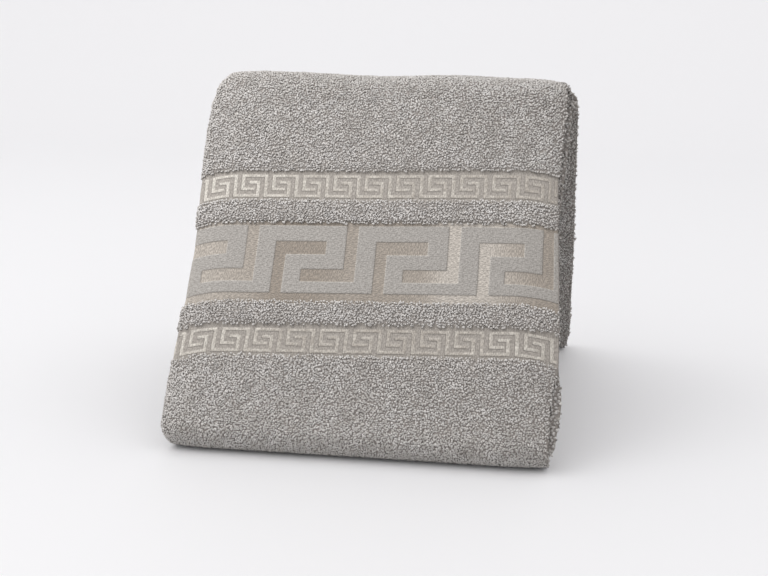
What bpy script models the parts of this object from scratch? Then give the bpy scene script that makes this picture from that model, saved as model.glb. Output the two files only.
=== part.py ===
"""A bath towel folded to four layers and stood on its two ends like a tent.

The towel is one length of terry cloth. It is folded lengthwise once, so two layers join along the
left side, and then crosswise, so four layers lie in each leg. The face layer ends tucked under the
front foot. The solid is made flat, cut across and along where it bends, and then folded.
X runs across the towel, Y from the front leg to the back leg, Z up, in metres. The origin is on the
floor, under the ridge.
"""

import math

import bmesh
import bpy
from mathutils import Vector

# The tent, in the plane of its two legs
RIDGE_TOP = 0.310
RIDGE_RADIUS = 0.034
FRONT_FOOT = 0.163
BACK_FOOT = 0.174
FOOT_PRESS = 0.0012

# The cloth: its layers a little apart, pile on both faces, and woven bands with no pile
LAYER_PITCH = 0.0065
PILE_HALF = 0.00295
BAND_HALF = 0.0009
SELVEDGE_HALF = 0.0012
SELVEDGE = 0.004
TUCK = 0.035
INNER_END_GAP = 0.016

# The border, measured along the cloth from a hem: a narrow band, the wide band and a narrow band,
# with a strip of pile between them
BORDER_START = 0.141
NARROW_BAND = 0.030
PILE_STRIP = 0.0185
WIDE_BAND = 0.074
BAND_STEP = 0.0008

# The sides are pressed thinner than the middle, less so at the front foot, and the rows of the
# border sag and slope a little
HALF_WIDTH = 0.169
SOFT_SIDE = 0.045
SIDE_PRESS = 0.35
FOOT_SIDE_PRESS = 0.14
FOOT_REACH = 0.06
ROW_SLOPE = 0.043

# Unevenness of the whole: the ridge falls to the right and lifts again past its middle, the front foot
# stands askew, and the legs bulge in slow waves, so many to a metre across and from floor to ridge
RIDGE_FALL = 0.0158
RIDGE_LIFT = 0.0048
LIFT_START = -0.010
LIFT_REACH = 0.090
FOOT_SKEW = 0.040
WAVE = 0.0012
WAVES_ACROSS = 4.35
WAVES_SLANT = 1.3
WAVES_UP = 1.7

# Where the sides lie, by stretch of the path: share along it, left fold, face layer's right edge,
# back layer's right edge
SIDES = {
    "tuck": [(0.0, -0.160, 0.158, 0.161), (1.0, -0.164, 0.161, 0.162)],
    "front foot": [(0.0, -0.164, 0.161, 0.162), (0.5, -0.1665, 0.164, 0.163), (1.0, -0.1705, 0.1635, 0.169)],
    "front leg": [
        (0.0, -0.1705, 0.1635, 0.169),
        (0.12, -0.171, 0.163, 0.172),
        (0.22, -0.171, 0.168, 0.168),
        (0.32, -0.1695, 0.167, 0.163),
        (0.42, -0.1665, 0.166, 0.161),
        (0.58, -0.1655, 0.165, 0.1595),
        (0.66, -0.167, 0.164, 0.159),
        (0.76, -0.168, 0.164, 0.159),
        (0.90, -0.169, 0.163, 0.159),
        (1.0, -0.168, 0.163, 0.160),
    ],
    "ridge": [
        (0.0, -0.168, 0.163, 0.160),
        (0.25, -0.165, 0.1615, 0.1595),
        (0.5, -0.159, 0.1585, 0.1575),
        (0.75, -0.1635, 0.1625, 0.160),
        (1.0, -0.167, 0.170, 0.164),
    ],
    "back leg": [(0.0, -0.167, 0.170, 0.164), (0.55, -0.169, 0.170, 0.166), (1.0, -0.169, 0.168, 0.166)],
    "back foot": [(0.0, -0.169, 0.168, 0.166), (0.5, -0.164, 0.161, 0.163), (1.0, -0.167, 0.166, 0.163)],
    "inner back leg": [
        (0.0, -0.167, 0.166, 0.163),
        (0.12, -0.167, 0.169, 0.164),
        (0.30, -0.166, 0.166, 0.164),
        (0.36, -0.166, 0.170, 0.165),
        (1.0, -0.165, 0.171, 0.163),
    ],
    "inner ridge": [(0.0, -0.165, 0.171, 0.163), (0.5, -0.158, 0.168, 0.161), (1.0, -0.164, 0.166, 0.160)],
    "inner front leg": [
        (0.0, -0.164, 0.166, 0.160),
        (0.5, -0.164, 0.159, 0.156),
        (1.0, -0.163, 0.162, 0.158),
    ],
}

# Where the flat cloth is cut along its length: across the face layer from its selvedge and from the
# fold, round the fold, and across the back layer from its selvedge
FACE_CUTS = [0.0038, 0.0042, 0.014, 0.032, 0.10, 0.168, 0.235]
FACE_CUTS_FROM_FOLD = [0.042, 0.024, 0.010, 0.0]
FOLD_CUTS = [0.25, 0.5, 0.75]
BACK_CUTS = [0.0038, 0.0042, 0.03, 0.168]
BACK_CUTS_FROM_FOLD = [0.03, 0.0]

# How many cuts across each stretch gets, besides those at the bands, and their least distance to them
CUT_CLEARANCE = 0.004
CUTS = {
    "tuck": 2,
    "front foot": 10,
    "front leg": 7,
    "ridge": 10,
    "back leg": 6,
    "back foot": 8,
    "inner back leg": 6,
    "inner ridge": 7,
    "inner front leg": 5,
}

GREY_TERRY = (0.38, 0.36, 0.34, 1.0)


def leg(foot_y, foot_z, line_radius):
    """A leg's direction down, its outward direction, its length from ridge to foot and its lean. The
    leg's line touches the circle of line_radius round the ridge's centre."""
    to_foot = Vector((0, foot_y, foot_z)) - RIDGE_CENTRE
    length = math.sqrt(to_foot.length**2 - line_radius**2)
    lean = math.atan2(abs(to_foot.y), -to_foot.z) - math.asin(line_radius / to_foot.length)
    side = math.copysign(1, foot_y)
    down = Vector((0, side * math.sin(lean), -math.cos(lean)))
    outward = Vector((0, side * math.cos(lean), math.sin(lean)))
    return down, outward, length, lean


RIDGE_CENTRE = Vector((0, 0, RIDGE_TOP - RIDGE_RADIUS))
MIDDLE_RADIUS = RIDGE_RADIUS - 1.5 * LAYER_PITCH - PILE_HALF
FRONT_TURN_Z = 2.5 * LAYER_PITCH + PILE_HALF - FOOT_PRESS
BACK_TURN_Z = 1.5 * LAYER_PITCH + PILE_HALF - FOOT_PRESS
FRONT_TURN = Vector((0, -FRONT_FOOT, FRONT_TURN_Z))
BACK_TURN = Vector((0, BACK_FOOT, BACK_TURN_Z))
FRONT_DOWN, FRONT_OUT, FRONT_LENGTH, FRONT_LEAN = leg(-FRONT_FOOT, FRONT_TURN_Z, MIDDLE_RADIUS - LAYER_PITCH)
BACK_DOWN, BACK_OUT, BACK_LENGTH, BACK_LEAN = leg(BACK_FOOT, BACK_TURN_Z, MIDDLE_RADIUS)
RIDGE_ANGLE = math.pi - FRONT_LEAN - BACK_LEAN

STRETCHES = {
    "tuck": TUCK,
    "front foot": math.pi * 2 * LAYER_PITCH,
    "front leg": FRONT_LENGTH,
    "ridge": RIDGE_ANGLE * (MIDDLE_RADIUS + LAYER_PITCH),
    "back leg": BACK_LENGTH,
    "back foot": math.pi * LAYER_PITCH,
    "inner back leg": BACK_LENGTH,
    "inner ridge": RIDGE_ANGLE * (MIDDLE_RADIUS - LAYER_PITCH),
    "inner front leg": FRONT_LENGTH - INNER_END_GAP,
}
CLOTH_LENGTH = sum(STRETCHES.values())
FOLD_ARC = math.pi * LAYER_PITCH / 2
LAYER_WIDTH = 2 * HALF_WIDTH - LAYER_PITCH / 2 - PILE_HALF
CLOTH_WIDTH = 2 * LAYER_WIDTH + FOLD_ARC


def soft_step(share):
    share = min(max(share, 0.0), 1.0)
    return share * share * (3 - 2 * share)


def place_along(v):
    """The stretch that the point v along the cloth lies in, and its share along that stretch."""
    for name, length in STRETCHES.items():
        if v <= length or name == "inner front leg":
            return name, v / length
        v -= length


def ridge_frame(share, inner):
    """A point on the ridge's arc, for the outer or the inner pair of layers. The line that the sides
    are pressed towards moves from the inner pair on the front leg to the middle on the back leg."""
    angle = -math.pi / 2 + FRONT_LEAN + (1 - share if inner else share) * RIDGE_ANGLE
    out = Vector((0, math.sin(angle), math.cos(angle)))
    drift = -LAYER_PITCH * (share if inner else 1 - share)
    base = RIDGE_CENTRE + out * (MIDDLE_RADIUS + drift)
    return base, -out if inner else out, LAYER_PITCH + (drift if inner else -drift)


def frame_along(v):
    """The base point, the direction away from it and the distance of the strip's middle, at v."""
    name, share = place_along(v)
    if name == "tuck":
        return FRONT_TURN - FRONT_DOWN * TUCK * (1 - share), -FRONT_OUT, 2 * LAYER_PITCH
    if name == "front foot":
        angle = math.pi * share
        return FRONT_TURN, FRONT_DOWN * math.sin(angle) - FRONT_OUT * math.cos(angle), 2 * LAYER_PITCH
    if name == "front leg":
        return FRONT_TURN - FRONT_DOWN * FRONT_LENGTH * share, FRONT_OUT, 2 * LAYER_PITCH
    if name == "ridge":
        return ridge_frame(share, inner=False)
    if name == "back leg":
        return BACK_TURN - BACK_DOWN * BACK_LENGTH * (1 - share), BACK_OUT, LAYER_PITCH
    if name == "back foot":
        angle = math.pi * share
        return BACK_TURN, BACK_DOWN * math.sin(angle) + BACK_OUT * math.cos(angle), LAYER_PITCH
    if name == "inner back leg":
        return BACK_TURN - BACK_DOWN * BACK_LENGTH * share, -BACK_OUT, LAYER_PITCH
    if name == "inner ridge":
        return ridge_frame(share, inner=True)
    from_ridge = (FRONT_LENGTH - INNER_END_GAP) * share
    return FRONT_TURN - FRONT_DOWN * (FRONT_LENGTH - from_ridge), -FRONT_OUT, 0.0


def sides_along(v):
    """The left fold and the right edges of the face and the back layer, at v."""
    name, share = place_along(v)
    rows = SIDES[name]
    for low, high in zip(rows, rows[1:]):
        if share <= high[0]:
            break
    part = soft_step((share - low[0]) / (high[0] - low[0]))
    return [a + (b - a) * part for a, b in zip(low[1:], high[1:])]


def across(u, v, height):
    """X and the distance from the strip's middle, of a point u across the flat cloth and height above it."""
    left, face_edge, back_edge = sides_along(v)
    fold_x = left + LAYER_PITCH / 2 + PILE_HALF
    if u < LAYER_WIDTH:
        return face_edge + (fold_x - face_edge) * u / LAYER_WIDTH, LAYER_PITCH / 2 + height
    if u > LAYER_WIDTH + FOLD_ARC:
        share = (CLOTH_WIDTH - u) / LAYER_WIDTH
        return back_edge + (fold_x - back_edge) * share, -LAYER_PITCH / 2 - height
    angle = math.pi * (u - LAYER_WIDTH) / FOLD_ARC
    radius = LAYER_PITCH / 2 + height
    return fold_x - radius * math.sin(angle), radius * math.cos(angle)


def thickness(u, v, face):
    """Half the cloth's thickness: thin at the selvedges and, on the face, in the woven bands."""
    if min(u, CLOTH_WIDTH - u) < SELVEDGE:
        return SELVEDGE_HALF
    from_hem = min(v, CLOTH_LENGTH - v)
    edges = band_edges()
    woven = any(low < from_hem < high for low, high in zip(edges[::2], edges[1::2]))
    return BAND_HALF if woven and face else PILE_HALF


def band_edges():
    """Where the woven bands start and end, from a hem."""
    edges = [BORDER_START]
    for width in (NARROW_BAND, PILE_STRIP, WIDE_BAND, PILE_STRIP, NARROW_BAND):
        edges.append(edges[-1] + width)
    return edges


def slid(v, x, drop):
    """v moved along the path, for the slope and the sag of the rows on the front leg."""
    start = STRETCHES["tuck"] + STRETCHES["front foot"]
    to_ridge_end = start + FRONT_LENGTH + STRETCHES["ridge"] - v
    fade = soft_step((v - start) / FOOT_REACH) * soft_step(to_ridge_end / STRETCHES["ridge"])
    return v + fade * (ROW_SLOPE * x - drop * RIDGE_ANGLE / 2)


def side_press(v):
    """How much thinner the towel is pressed at its sides, at v."""
    from_foot = max(STRETCHES["tuck"] - v, v - STRETCHES["tuck"] - STRETCHES["front foot"])
    return FOOT_SIDE_PRESS + (SIDE_PRESS - FOOT_SIDE_PRESS) * soft_step(from_foot / FOOT_REACH)


def folded(u, v, face):
    """Where a point of the flat cloth's face or back lies in the folded towel."""
    height = thickness(u, v, face) * (1 if face else -1)
    x, from_middle = across(u, v, height)
    near_side = min(max((abs(x) - HALF_WIDTH + SOFT_SIDE) / SOFT_SIDE, 0), 1) ** 2
    v = slid(v, x, SIDE_PRESS * near_side * 2.5 * LAYER_PITCH)
    base, away, distance = frame_along(v)
    point = base + away * (distance + from_middle) * (1 - side_press(v) * near_side)
    up = min(max(point.z / RIDGE_TOP, 0), 1)
    wave = WAVE * math.sin(math.pi * up) * math.sin(math.tau * WAVES_UP * up + 1)
    wave *= math.sin(math.tau * (WAVES_ACROSS * x + WAVES_SLANT * up))
    point.y += math.copysign(wave, point.y) + (FOOT_SKEW * x * (1 - up) if point.y < 0 else 0)
    lift = RIDGE_LIFT * soft_step((x - LIFT_START) / LIFT_REACH) * up**4
    point.z = max(point.z, 0) * (1 - RIDGE_FALL * x / HALF_WIDTH) + lift
    return Vector((x, point.y, point.z))


def cuts_across():
    """Where the flat cloth is cut along its length, from the face layer's selvedge to the back layer's."""
    face = FACE_CUTS + [LAYER_WIDTH - cut for cut in FACE_CUTS_FROM_FOLD]
    fold = [LAYER_WIDTH + FOLD_ARC * share for share in FOLD_CUTS]
    back = [CLOTH_WIDTH - LAYER_WIDTH + cut for cut in BACK_CUTS_FROM_FOLD]
    back += [CLOTH_WIDTH - cut for cut in BACK_CUTS]
    return sorted(face + fold + back)


def cuts_along():
    """Where it is cut across: through each bend and at both sides of each band's edges."""
    cuts, start = [], 0.0
    for name, length in STRETCHES.items():
        cuts += [start + length * i / CUTS[name] for i in range(CUTS[name])]
        start += length
    bands = [edge + step for edge in band_edges() for step in (-BAND_STEP, BAND_STEP)]
    bands += [CLOTH_LENGTH - edge for edge in bands]
    kept = [cut for cut in cuts[1:] if min(abs(cut - band) for band in bands) > CUT_CLEARANCE]
    return sorted(kept + bands)


def flat_cloth(mesh):
    """A closed slab of the cloth's length and width, with an edge loop at every cut."""
    bmesh.ops.create_cube(mesh, size=1.0)
    for vertex in mesh.verts:
        vertex.co = ((vertex.co.x + 0.5) * CLOTH_WIDTH, (vertex.co.y + 0.5) * CLOTH_LENGTH, vertex.co.z)
    for axis, cuts in ((0, cuts_across()), (1, cuts_along())):
        normal = Vector((axis == 0, axis == 1, 0))
        for cut in cuts:
            everything = mesh.verts[:] + mesh.edges[:] + mesh.faces[:]
            bmesh.ops.bisect_plane(mesh, geom=everything, plane_co=normal * cut, plane_no=normal, dist=1e-6)


def clear_scene():
    for obj in list(bpy.data.objects):
        bpy.data.objects.remove(obj, do_unlink=True)


def cloth_material():
    material = bpy.data.materials.new("grey terry")
    material.use_nodes = True
    shader = material.node_tree.nodes["Principled BSDF"]
    shader.inputs["Base Color"].default_value = GREY_TERRY
    shader.inputs["Roughness"].default_value = 0.95
    shader.inputs["Metallic"].default_value = 0.0
    return material


def towel():
    mesh = bmesh.new()
    flat_cloth(mesh)
    for vertex in mesh.verts:
        vertex.co = folded(vertex.co.x, vertex.co.y, vertex.co.z > 0)
    bmesh.ops.reverse_faces(mesh, faces=mesh.faces[:])
    data = bpy.data.meshes.new("towel")
    mesh.to_mesh(data)
    mesh.free()
    data.shade_smooth()
    data.set_sharp_from_angle(angle=math.radians(50))
    data.materials.append(cloth_material())
    return bpy.data.objects.new("towel", data)


clear_scene()
collection = bpy.data.collections.new("folded bath towel")
bpy.context.scene.collection.children.link(collection)
collection.objects.link(towel())
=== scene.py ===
"""The looks of a folded bath towel that stands like a tent: its cloth, its woven key-pattern bands,
its looped pile and the sewing of its hems. Metres, X across the towel, Y from front to back, Z up."""

import math

import bmesh
import bpy
import numpy as np
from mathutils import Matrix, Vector


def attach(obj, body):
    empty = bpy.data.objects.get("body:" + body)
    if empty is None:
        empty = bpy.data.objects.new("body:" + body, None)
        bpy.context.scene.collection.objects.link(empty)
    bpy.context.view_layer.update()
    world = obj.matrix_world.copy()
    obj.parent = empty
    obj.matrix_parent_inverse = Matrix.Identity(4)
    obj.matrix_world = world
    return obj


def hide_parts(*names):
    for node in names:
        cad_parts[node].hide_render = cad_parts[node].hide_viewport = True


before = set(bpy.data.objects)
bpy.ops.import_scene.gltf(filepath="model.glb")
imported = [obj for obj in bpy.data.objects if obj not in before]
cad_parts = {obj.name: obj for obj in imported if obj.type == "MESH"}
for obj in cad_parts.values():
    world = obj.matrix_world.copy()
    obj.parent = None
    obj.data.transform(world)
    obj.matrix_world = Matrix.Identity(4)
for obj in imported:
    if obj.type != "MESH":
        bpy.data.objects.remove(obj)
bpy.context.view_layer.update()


# The camera
# It stands in front of the towel, a little to its right, and looks down on the front leg. Its place
# and its lens are fitted to the towel's corners.
CAMERA_TURN = math.radians(11.2)
CAMERA_RISE = math.radians(14.9)
CAMERA_DISTANCE = 1.1
CAMERA_AIM = Vector((-0.008, 0.0, 0.1066))
CAMERA_LENS = 52.8
CAMERA_SENSOR = 36.0


def point_at(thing, target):
    thing.rotation_euler = (target - thing.location).to_track_quat("-Z", "Y").to_euler()


lens = bpy.data.cameras.new("camera")
lens.lens = CAMERA_LENS
lens.sensor_width = CAMERA_SENSOR
camera = bpy.data.objects.new("camera", lens)
bpy.context.scene.collection.objects.link(camera)
level_distance = CAMERA_DISTANCE * math.cos(CAMERA_RISE)
camera.location = CAMERA_AIM + Vector((
    level_distance * math.sin(CAMERA_TURN),
    -level_distance * math.cos(CAMERA_TURN),
    CAMERA_DISTANCE * math.sin(CAMERA_RISE),
))
point_at(camera, CAMERA_AIM)
bpy.context.scene.camera = camera


# The fold of the cloth
# One length of cotton terry is folded lengthwise, then crosswise to four layers, and bent over at the
# ridge. u runs across the flat cloth from the face layer's selvedge, and v along it from the tucked hem.
RIDGE_TOP = 0.310
RIDGE_RADIUS = 0.034
FRONT_FOOT = 0.163
BACK_FOOT = 0.174
LAYER_PITCH = 0.0065
FRONT_LAYERS = 2.5
BACK_LAYERS = 1.5
PILE_HALF = 0.00295
TUCK = 0.035
INNER_END_GAP = 0.016
HALF_WIDTH = 0.169

# Its weight presses it flat under the feet, where the front one's toe stands off a little, and its
# folds and edges press it thinner at the sides
FOOT_PRESS = 0.0012
SOFT_PRESS = 0.0010
TOE_LIFT = 0.0012
TOE_START = 0.010
TOE_REACH = 0.018
TOE_FADE = 0.040
SOFT_SIDE = 0.045
SIDE_PRESS = 0.35
FOOT_SIDE_PRESS = 0.14
FOOT_REACH = 0.06

# It doesn't stand quite true: its rows slope, its ridge falls to the right, its feet lie askew, and
# soft waves run up it
ROW_SLOPE = 0.043
RIDGE_FALL = 0.0158
RIDGE_LIFT = 0.0048
LIFT_START = -0.010
LIFT_REACH = 0.090
FOOT_SKEW = 0.040
WAVE = 0.0012
WAVE_START = 1.0
WAVES_ACROSS = 4.35
WAVES_SLANT = 1.3
WAVES_UP = 1.7

# Where the sides lie, by stretch: share along it, left fold, face layer's and back layer's right edge
SIDES = {
    "tuck": [(0.0, -0.160, 0.158, 0.161), (1.0, -0.164, 0.161, 0.162)],
    "front foot": [
        (0.0, -0.164, 0.161, 0.162),
        (0.5, -0.1665, 0.164, 0.163),
        (1.0, -0.1705, 0.1635, 0.169),
    ],
    "front leg": [
        (0.0, -0.1705, 0.1635, 0.169),
        (0.12, -0.171, 0.163, 0.172),
        (0.22, -0.171, 0.168, 0.168),
        (0.32, -0.1695, 0.167, 0.163),
        (0.42, -0.1665, 0.166, 0.161),
        (0.58, -0.1655, 0.165, 0.1595),
        (0.66, -0.167, 0.164, 0.159),
        (0.76, -0.168, 0.164, 0.159),
        (0.90, -0.169, 0.163, 0.159),
        (1.0, -0.168, 0.163, 0.160),
    ],
    "ridge": [
        (0.0, -0.168, 0.163, 0.160),
        (0.25, -0.165, 0.1615, 0.1595),
        (0.5, -0.159, 0.1585, 0.1575),
        (0.75, -0.1635, 0.1625, 0.160),
        (1.0, -0.167, 0.170, 0.164),
    ],
    "back leg": [
        (0.0, -0.167, 0.170, 0.164),
        (0.55, -0.169, 0.170, 0.166),
        (1.0, -0.169, 0.168, 0.166),
    ],
    "back foot": [
        (0.0, -0.169, 0.168, 0.166),
        (0.5, -0.164, 0.161, 0.163),
        (1.0, -0.167, 0.166, 0.163),
    ],
    "inner back leg": [
        (0.0, -0.167, 0.166, 0.163),
        (0.12, -0.167, 0.169, 0.164),
        (0.30, -0.166, 0.166, 0.164),
        (0.36, -0.166, 0.170, 0.165),
        (1.0, -0.165, 0.171, 0.163),
    ],
    "inner ridge": [
        (0.0, -0.165, 0.171, 0.163),
        (0.5, -0.158, 0.168, 0.161),
        (1.0, -0.164, 0.166, 0.160),
    ],
    "inner front leg": [
        (0.0, -0.164, 0.166, 0.160),
        (0.5, -0.164, 0.159, 0.156),
        (1.0, -0.163, 0.162, 0.158),
    ],
}

# How far the face layer's selvedge curls in beside the woven bands, by place along the cloth
CURL_REACH = 0.020
CURLS = [
    (0.180, 0.0),
    (0.210, 0.0010),
    (0.245, 0.0026),
    (0.272, 0.0040),
    (0.297, 0.0050),
    (0.312, 0.0053),
    (0.332, 0.0040),
    (0.355, 0.0018),
    (0.400, 0.0),
]

# Soft swells and hollows of the face layer: x and v of the middle, half width, half length and rise
SWELLS = [
    (-0.120, 0.350, 0.050, 0.030, 0.0012),
    (-0.030, 0.372, 0.045, 0.024, -0.0010),
    (0.060, 0.352, 0.055, 0.030, 0.0011),
    (0.130, 0.375, 0.035, 0.030, 0.0009),
    (-0.085, 0.402, 0.050, 0.020, 0.0012),
    (0.020, 0.410, 0.040, 0.020, 0.0010),
    (0.115, 0.404, 0.040, 0.018, -0.0009),
    (-0.110, 0.120, 0.050, 0.022, 0.0011),
    (-0.020, 0.105, 0.045, 0.026, -0.0008),
    (0.070, 0.118, 0.055, 0.024, 0.0012),
    (0.140, 0.095, 0.030, 0.024, 0.0009),
    (-0.060, 0.085, 0.040, 0.015, 0.0008),
    (-0.060, 0.560, 0.070, 0.050, 0.0016),
    (0.080, 0.620, 0.060, 0.060, 0.0014),
    (-0.100, 0.690, 0.050, 0.040, -0.0010),
    (0.020, 0.500, 0.080, 0.030, -0.0010),
]


def leg(foot_y, foot_z, line_radius):
    """In the plane of Y and Z: a leg's direction down, its outward direction, its length and its lean."""
    to_foot = np.array([foot_y, foot_z]) - RIDGE_CENTRE
    reach = math.hypot(*to_foot)
    lean = math.atan2(abs(to_foot[0]), -to_foot[1]) - math.asin(line_radius / reach)
    side = math.copysign(1, foot_y)
    down = np.array([side * math.sin(lean), -math.cos(lean)])
    outward = np.array([side * math.cos(lean), math.sin(lean)])
    return down, outward, math.sqrt(reach**2 - line_radius**2), lean


# The centres that the cloth turns round, in the plane of Y and Z. The outermost layer runs so many
# layers away from each foot's turn
RIDGE_CENTRE = np.array([0.0, RIDGE_TOP - RIDGE_RADIUS])
MIDDLE_RADIUS = RIDGE_RADIUS - BACK_LAYERS * LAYER_PITCH - PILE_HALF
FRONT_TURN = np.array([-FRONT_FOOT, FRONT_LAYERS * LAYER_PITCH + PILE_HALF - FOOT_PRESS])
BACK_TURN = np.array([BACK_FOOT, BACK_LAYERS * LAYER_PITCH + PILE_HALF - FOOT_PRESS])
FRONT_DOWN, FRONT_OUT, FRONT_LENGTH, FRONT_LEAN = leg(*FRONT_TURN, MIDDLE_RADIUS - LAYER_PITCH)
BACK_DOWN, BACK_OUT, BACK_LENGTH, BACK_LEAN = leg(*BACK_TURN, MIDDLE_RADIUS)
RIDGE_ANGLE = math.pi - FRONT_LEAN - BACK_LEAN

STRETCHES = {
    "tuck": TUCK,
    "front foot": math.pi * 2 * LAYER_PITCH,
    "front leg": FRONT_LENGTH,
    "ridge": RIDGE_ANGLE * (MIDDLE_RADIUS + LAYER_PITCH),
    "back leg": BACK_LENGTH,
    "back foot": math.pi * LAYER_PITCH,
    "inner back leg": BACK_LENGTH,
    "inner ridge": RIDGE_ANGLE * (MIDDLE_RADIUS - LAYER_PITCH),
    "inner front leg": FRONT_LENGTH - INNER_END_GAP,
}
ENDS = np.cumsum(list(STRETCHES.values()))
STARTS = dict(zip(STRETCHES, ENDS - list(STRETCHES.values())))
CLOTH_LENGTH = float(ENDS[-1])
FOLD_ARC = math.pi * LAYER_PITCH / 2
LAYER_WIDTH = 2 * HALF_WIDTH - LAYER_PITCH / 2 - PILE_HALF
CLOTH_WIDTH = 2 * LAYER_WIDTH + FOLD_ARC


def soft_step(share):
    share = np.clip(share, 0.0, 1.0)
    return share * share * (3 - 2 * share)


def on_arc(angle):
    return np.stack([np.sin(angle), np.cos(angle)], axis=-1)


def on_ridge(share, inner):
    """The ridge's arc, for the outer or the inner pair of layers."""
    out = on_arc(-math.pi / 2 + FRONT_LEAN + (1 - share if inner else share) * RIDGE_ANGLE)
    drift = -LAYER_PITCH * (share if inner else 1 - share)
    base = RIDGE_CENTRE + out * (MIDDLE_RADIUS + drift)[:, None]
    return base, -out if inner else out, LAYER_PITCH + (drift if inner else -drift)


def on_turn(share, turn, down, out, distance):
    """A turn round a foot."""
    angle = math.pi * share[:, None]
    away = down * np.sin(angle) + out * np.cos(angle)
    return turn + 0 * away, away, distance + 0 * share


def on_leg(from_turn, turn, down, away, distance):
    """A straight stretch, from_turn away from a foot's centre."""
    return turn - down * from_turn[:, None], away + 0 * from_turn[:, None], distance + 0 * from_turn


def along_path(v):
    """At v along the cloth: a base point in the plane of Y and Z, the way out of it, and the distance."""
    ways = {
        "tuck": lambda s: on_leg(TUCK * (1 - s), FRONT_TURN, FRONT_DOWN, -FRONT_OUT, 2 * LAYER_PITCH),
        "front foot": lambda s: on_turn(s, FRONT_TURN, FRONT_DOWN, -FRONT_OUT, 2 * LAYER_PITCH),
        "front leg": lambda s: on_leg(FRONT_LENGTH * s, FRONT_TURN, FRONT_DOWN, FRONT_OUT, 2 * LAYER_PITCH),
        "ridge": lambda s: on_ridge(s, inner=False),
        "back leg": lambda s: on_leg(BACK_LENGTH * (1 - s), BACK_TURN, BACK_DOWN, BACK_OUT, LAYER_PITCH),
        "back foot": lambda s: on_turn(s, BACK_TURN, BACK_DOWN, BACK_OUT, LAYER_PITCH),
        "inner back leg": lambda s: on_leg(BACK_LENGTH * s, BACK_TURN, BACK_DOWN, -BACK_OUT, LAYER_PITCH),
        "inner ridge": lambda s: on_ridge(s, inner=True),
        "inner front leg": lambda s: on_leg(
            FRONT_LENGTH - (FRONT_LENGTH - INNER_END_GAP) * s, FRONT_TURN, FRONT_DOWN, -FRONT_OUT, 0.0
        ),
    }
    base, away, distance = np.zeros((v.size, 2)), np.zeros((v.size, 2)), np.zeros(v.size)
    stretch = np.minimum(np.searchsorted(ENDS, v), len(ENDS) - 1)
    for number, name in enumerate(STRETCHES):
        here = stretch == number
        share = (v[here] - STARTS[name]) / STRETCHES[name]
        base[here], away[here], distance[here] = ways[name](share)
    return base, away, distance


side_places = {}
for stretch_name, rows in SIDES.items():
    for share, *edges in rows:
        side_places[round(STARTS[stretch_name] + share * STRETCHES[stretch_name], 7)] = edges
side_knots = np.array(sorted(side_places))
side_edges = np.array([side_places[knot] for knot in sorted(side_places)])


def sides_along(v):
    """The left fold and the right edges of the face and the back layer, at v."""
    low = np.clip(np.searchsorted(side_knots, v) - 1, 0, len(side_knots) - 2)
    part = soft_step((v - side_knots[low]) / (side_knots[low + 1] - side_knots[low]))[:, None]
    return (side_edges[low] * (1 - part) + side_edges[low + 1] * part).T


def across(u, v, height):
    """X, and the distance from the middle of the folded pair of layers, at u and height above it."""
    left, face_edge, back_edge = sides_along(v)
    fold_x = left + LAYER_PITCH / 2 + PILE_HALF
    angle = math.pi * np.clip((u - LAYER_WIDTH) / FOLD_ARC, 0, 1)
    radius = LAYER_PITCH / 2 + height
    on_face, on_back = u < LAYER_WIDTH, u > LAYER_WIDTH + FOLD_ARC
    x = fold_x - radius * np.sin(angle)
    curl = np.interp(v, *zip(*CURLS)) * np.clip(1 - u / CURL_REACH, 0, 1) ** 2
    x = np.where(on_face, face_edge + (fold_x - face_edge) * u / LAYER_WIDTH - curl, x)
    x = np.where(on_back, back_edge + (fold_x - back_edge) * (CLOTH_WIDTH - u) / LAYER_WIDTH, x)
    return x, radius * np.cos(angle)


def slid(v, x, drop):
    """v moved along the path: rows slope on the front leg, and drop back where the sides are thinner."""
    start = STARTS["front leg"]
    to_ridge_end = start + FRONT_LENGTH + STRETCHES["ridge"] - v
    fade = soft_step((v - start) / FOOT_REACH) * soft_step(to_ridge_end / STRETCHES["ridge"])
    return v + fade * (ROW_SLOPE * x - drop * RIDGE_ANGLE / 2)


def side_press(v):
    """How much thinner the towel is pressed at its sides, at v: less by the front foot."""
    from_foot = np.maximum(TUCK - v, v - STARTS["front leg"])
    return FOOT_SIDE_PRESS + (SIDE_PRESS - FOOT_SIDE_PRESS) * soft_step(from_foot / FOOT_REACH)


def swell(x, v):
    """How far the face layer stands out of its plain fold."""
    rise = np.zeros(v.size)
    for middle, along, half_width, half_length, height in SWELLS:
        off = ((x - middle) / half_width) ** 2 + ((v - along) / half_length) ** 2
        rise += height * np.exp(-off)
    return rise


def softly_pressed(z):
    """Heights near the surface, flattened bit by bit, so a narrow gap runs in under each foot."""
    return (z + np.sqrt(z**2 + SOFT_PRESS**2)) / 2


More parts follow.
